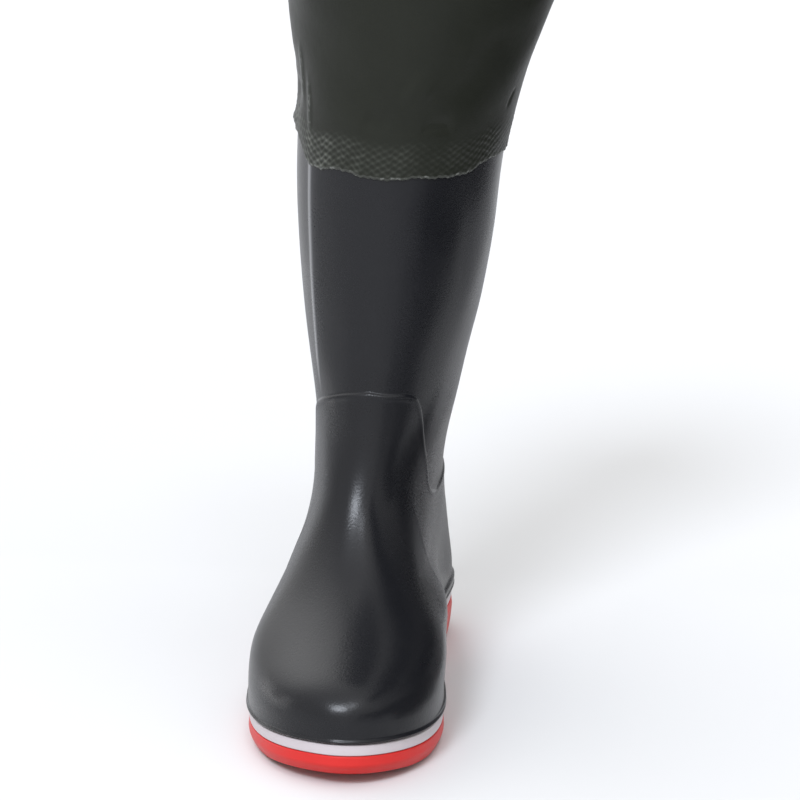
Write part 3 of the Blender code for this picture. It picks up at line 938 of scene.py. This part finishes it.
class Nodes:
    """A node tree that is written as expressions."""

    def __init__(self, tree):
        self.tree = tree
        tree.nodes.clear()

    def add(self, kind, settings, inputs):
        """Adds a node: settings first, then each socket's value or link. Gives its outputs as fields."""
        node = self.tree.nodes.new(kind)
        for key, value in settings.items():
            setattr(node, key, value)
        for key, value in inputs.items():
            if isinstance(value, Field):
                self.tree.links.new(value.socket, node.inputs[key])
            else:
                node.inputs[key].default_value = value
        return [Field(self, socket) for socket in node.outputs]

    def object_place(self):
        """Object coordinates, in metres."""
        return self.add("ShaderNodeTexCoord", {}, {})[3]

    def own_map(self, name):
        """Both values of one of the piece's own maps: cloth runs across and along in metres."""
        place = self.add("ShaderNodeUVMap", {"uv_map": name}, {})[0]
        return self.add("ShaderNodeSeparateXYZ", {}, {0: place})[:2]

    def noise(self, place, size, detail):
        """Cloudy noise between 0 and 1 whose clouds are about size metres wide."""
        inputs = {"Vector": place, "Scale": 1 / size, "Detail": detail}
        return self.add("ShaderNodeTexNoise", {}, inputs)[0]

    def between(self, value, low, high):
        """0 below low, 1 above high, S-shaped between."""
        settings = {"interpolation_type": "SMOOTHSTEP"}
        inputs = {"Value": value, "From Min": low, "From Max": high}
        return self.add("ShaderNodeMapRange", settings, inputs)[0]

    def blend(self, factor, first, second):
        """Colour between two colours."""
        inputs = {0: factor, 6: first, 7: second}
        return self.add("ShaderNodeMix", {"data_type": "RGBA"}, inputs)[2]

    def bump(self, height, strength, depth):
        """Normal of a fine relief, whose height runs from 0 to 1 over a depth in metres."""
        return self.add("ShaderNodeBump", {}, {"Strength": strength, "Distance": depth, "Height": height})[0]

    def surface(self, colour, roughness, normal, constants):
        """The Principled shader on the material's output."""
        inputs = {"Base Color": colour, "Roughness": roughness, "Normal": normal, **constants}
        shader = self.add("ShaderNodeBsdfPrincipled", {}, inputs)[0]
        self.add("ShaderNodeOutputMaterial", {}, {"Surface": shader})


def new_finish(name):
    """An empty node material and its tree."""
    material = bpy.data.materials.new(name)
    material.use_nodes = True
    return material, Nodes(material.node_tree)


def rgb(red, green, blue):
    """A linear colour with full cover."""
    return (red, green, blue, 1.0)


def moulded_black():
    """Satin black PVC: a fine mould grain, cloudy gloss, a trace of dust and a painted highlight on the
    crease.
    """
    material, nodes = new_finish("satin_black_pvc")
    place = nodes.object_place()
    clouds = nodes.noise(place, size=0.045, detail=3.0)
    grain = nodes.noise(place, size=0.0012, detail=2.0)
    pores = nodes.noise(place, size=0.003, detail=2.0)
    dust = nodes.between(nodes.noise(place, size=0.018, detail=4.0), low=0.5, high=0.85)
    crease = nodes.own_map("highlights_and_fray")[0]
    colour = nodes.blend(dust * 0.5, rgb(0.0074, 0.0077, 0.0096), rgb(0.0108, 0.0111, 0.0130))
    # Painted highlight: the crease's crest and tail lightened in the base colour, in place of its glint
    colour = nodes.blend(crease, colour, rgb(0.26, 0.262, 0.27))
    roughness = 0.22 + 0.07 * clouds + 0.05 * grain
    normal = nodes.bump(0.6 * grain + 0.4 * pores, strength=0.42, depth=0.0003)
    nodes.surface(colour, roughness, normal, {"Specular IOR Level": 0.3})
    return material


def moulded_band():
    """Off-white PVC: smooth, with a faint cloudy tone and a fine grain."""
    material, nodes = new_finish("off_white_pvc")
    place = nodes.object_place()
    clouds = nodes.noise(place, size=0.02, detail=4.0)
    grain = nodes.noise(place, size=0.0009, detail=2.0)
    colour = nodes.blend(clouds, rgb(0.482, 0.438, 0.457), rgb(0.538, 0.488, 0.508))
    normal = nodes.bump(grain, strength=0.2, depth=0.00012)
    nodes.surface(colour, 0.40 + 0.12 * clouds, normal, {"Specular IOR Level": 0.45})
    return material


def moulded_red():
    """Red PVC: satin, slightly uneven tone, fine grain."""
    material, nodes = new_finish("satin_red_pvc")
    place = nodes.object_place()
    clouds = nodes.noise(place, size=0.025, detail=4.0)
    grain = nodes.noise(place, size=0.001, detail=3.0)
    colour = nodes.blend(clouds, rgb(0.505, 0.0145, 0.0125), rgb(0.595, 0.024, 0.0205))
    normal = nodes.bump(grain, strength=0.25, depth=0.0002)
    nodes.surface(colour, 0.36 + 0.12 * clouds, normal, {"Specular IOR Level": 0.3})
    return material


def coated_fabric():
    """Dark green coated nylon: weave under a thin coat, crinkles, painted highlights on the net lines and
    fold crests, and a paler frayed lower edge.
    """
    material, nodes = new_finish("green_coated_nylon")
    place = nodes.object_place()
    across, along = nodes.own_map("cloth")
    # Second map: the net's painted highlight, then the frayed edge together with the folds' painted highlight
    net, edge = nodes.own_map("highlights_and_fray")
    thread = 2 * math.pi / THREAD_PITCH
    weave = 0.5 + 0.25 * ((across * thread).sine() + (along * thread).sine())
    clouds = nodes.noise(place, size=0.03, detail=4.0)
    crinkle = nodes.noise(place, size=0.006, detail=4.0)
    # Share of the net's painted highlight, in random patches
    highlight_share = nodes.between(nodes.noise(place, size=0.009, detail=3.0), low=0.35, high=0.65)
    frayed = nodes.between(nodes.noise(place, size=0.0028, detail=2.0), low=0.54, high=0.66)
    colour = nodes.blend(clouds, rgb(0.0075, 0.0088, 0.0054), rgb(0.0120, 0.0136, 0.0090))
    # Painted highlight: the net lines lightened in the base colour, in place of their glints
    colour = nodes.blend(net * (0.35 + 0.65 * highlight_share), colour, rgb(0.19, 0.20, 0.175))
    # Paler frayed lower edge, and the painted highlight on the chosen folds' crests, both lightened in the
    # base colour
    colour = nodes.blend(edge * (0.25 + 0.75 * frayed), colour, rgb(0.12, 0.125, 0.115))
    roughness = 0.32 + 0.12 * clouds + 0.05 * weave
    normal = nodes.bump(0.25 * weave + 0.75 * crinkle, strength=0.3, depth=0.0006)
    nodes.surface(colour, roughness, normal, {"Specular IOR Level": 0.22, "Sheen Weight": 0.02})
    return material


def knitted_nylon():
    """Grey knit: rows of loops as rounded ribs crossed by a finer wave."""
    material, nodes = new_finish("grey_knit")
    across, along = nodes.own_map("cloth")
    ribs = (across * (2 * math.pi / RIB_PITCH)).sine()
    loops = (along * (2 * math.pi / LOOP_PITCH) + 1.4 * ribs).sine()
    knit = 0.5 + 0.3 * ribs + 0.2 * loops
    place = nodes.object_place()
    fuzz = nodes.noise(place, size=0.004, detail=4.0)
    colour = nodes.blend(knit * fuzz, rgb(0.05, 0.052, 0.055), rgb(0.15, 0.153, 0.16))
    normal = nodes.bump(0.8 * knit + 0.2 * fuzz, strength=0.7, depth=0.0006)
    nodes.surface(colour, 0.85 + 0.1 * fuzz, normal, {"Sheen Weight": 0.2})
    return material


def footbed_felt():
    """Grey felt: matted fibres in two sizes of noise."""
    material, nodes = new_finish("grey_felt")
    place = nodes.object_place()
    mat = nodes.noise(place, size=0.0022, detail=6.0)
    clouds = nodes.noise(place, size=0.015, detail=3.0)
    colour = nodes.blend(0.6 * mat + 0.4 * clouds, rgb(0.06, 0.06, 0.066), rgb(0.17, 0.17, 0.18))
    normal = nodes.bump(mat, strength=0.6, depth=0.0008)
    nodes.surface(colour, 0.9 + 0.08 * mat, normal, {"Sheen Weight": 0.25})
    return material


# Studio


def direction(azimuth, elevation):
    """Unit vector towards an azimuth, 0 ahead of the toe and 90 to the right, and an elevation."""
    a, e = math.radians(azimuth), math.radians(elevation)
    return np.array([math.sin(a) * math.cos(e), -math.cos(a) * math.cos(e), math.sin(e)])


def make_surroundings():
    """World light: an even level and, for each soft light, strength times e to sharpness x (cosine - 1)."""
    world = bpy.data.worlds.new("studio")
    world.use_nodes = True
    nodes = Nodes(world.node_tree)
    place = nodes.add("ShaderNodeTexCoord", {}, {})[0]
    level = EVEN_LEVEL
    for light in SOFT_LIGHTS:
        towards = tuple(direction(light.azimuth, light.elevation))
        cosine = nodes.add("ShaderNodeVectorMath", {"operation": "DOT_PRODUCT"}, {0: place, 1: towards})[1]
        level = level + light.strength * ((cosine - 1.0) * light.sharpness).exponent()
    background = nodes.add("ShaderNodeBackground", {}, {"Color": level})[0]
    nodes.add("ShaderNodeOutputWorld", {}, {"Surface": background})
    bpy.context.scene.world = world


def make_key_lights():
    """Two distant soft boxes high in front, the brighter one a little to the left."""
    for key in KEYS:
        lamp = bpy.data.lights.new(key.name, "SUN")
        lamp.energy = key.energy
        lamp.angle = math.radians(key.spread)
        lamp.color = KEY_COLOUR
        holder = bpy.data.objects.new(key.name, lamp)
        towards = Vector(direction(key.azimuth, key.elevation))
        holder.rotation_euler = towards.to_track_quat("Z", "Y").to_euler()
        bpy.context.scene.collection.objects.link(holder)


def make_floor():
    """Plain pale floor: one large square, level with the tread."""
    half = FLOOR_HALF_METRES
    corners = [(-half, -half, 0), (half, -half, 0), (half, half, 0), (-half, half, 0)]
    mesh = bpy.data.meshes.new("floor")
    mesh.from_pydata(corners, [], [(0, 1, 2, 3)])
    floor = bpy.data.objects.new("floor", mesh)
    bpy.context.scene.collection.objects.link(floor)
    material, nodes = new_finish("pale_floor")
    clouds = nodes.noise(nodes.object_place(), size=0.4, detail=2.0)
    colour = nodes.blend(clouds, rgb(0.65, 0.65, 0.655), rgb(0.67, 0.67, 0.67))
    nodes.surface(colour, 0.8, nodes.bump(clouds, strength=0.02, depth=0.001), {"Specular IOR Level": 0.2})
    mesh.materials.append(material)


def make_cards():
    """Dark cards, grey mats and glowing panels that only reflections see: flat quads round the boot."""
    for row in CARDS:
        (x, far_x), (y, far_y), (low, high) = row.x, row.y, row.z
        corners = np.array([(x, y, low), (far_x, y, high), (far_x, far_y, high), (x, far_y, low)])
        mesh = bpy.data.meshes.new(row.name)
        mesh.from_pydata(((corners - PART_ORIGIN) * MM).tolist(), [], [(0, 1, 2, 3)])
        card = bpy.data.objects.new(row.name, mesh)
        bpy.context.scene.collection.objects.link(card)
        card.visible_camera = False
        card.visible_diffuse = False
        card.visible_shadow = False
        material, nodes = new_finish(row.name)
        fibres = nodes.noise(nodes.object_place(), size=0.004, detail=3.0)
        paler = 1.2 * row.tone
        colour = nodes.blend(fibres, rgb(row.tone, row.tone, row.tone), rgb(paler, paler, 1.25 * row.tone))
        constants = {"Specular IOR Level": 0.1, "Emission Strength": row.glow}
        nodes.surface(colour, 0.9, nodes.bump(fibres, strength=0.1, depth=0.0005), constants)
        mesh.materials.append(material)


def make_camera():
    """Camera at the photograph's azimuth and elevation, aimed so that the boot stands in mid-frame."""
    eye = VIEW_CENTRE + direction(VIEW_AZIMUTH, VIEW_ELEVATION) * VIEW_DISTANCE
    lens = bpy.data.cameras.new("camera")
    lens.sensor_width = SENSOR_WIDTH
    lens.lens = LENS
    camera = bpy.data.objects.new("camera", lens)
    camera.location = (eye - PART_ORIGIN) * MM
    camera.rotation_euler = Vector(eye - VIEW_AIM).to_track_quat("Z", "Y").to_euler()
    bpy.context.scene.collection.objects.link(camera)
    bpy.context.scene.camera = camera


make_upper().data.materials.append(moulded_black())
make_lining().data.materials.append(knitted_nylon())
make_band().data.materials.append(moulded_band())
make_outsole().data.materials.append(moulded_red())
make_footbed().data.materials.append(footbed_felt())
make_leg().data.materials.append(coated_fabric())
make_surroundings()
make_key_lights()
make_floor()
make_cards()
make_camera()
bpy.context.scene.view_settings.view_transform = "Standard"
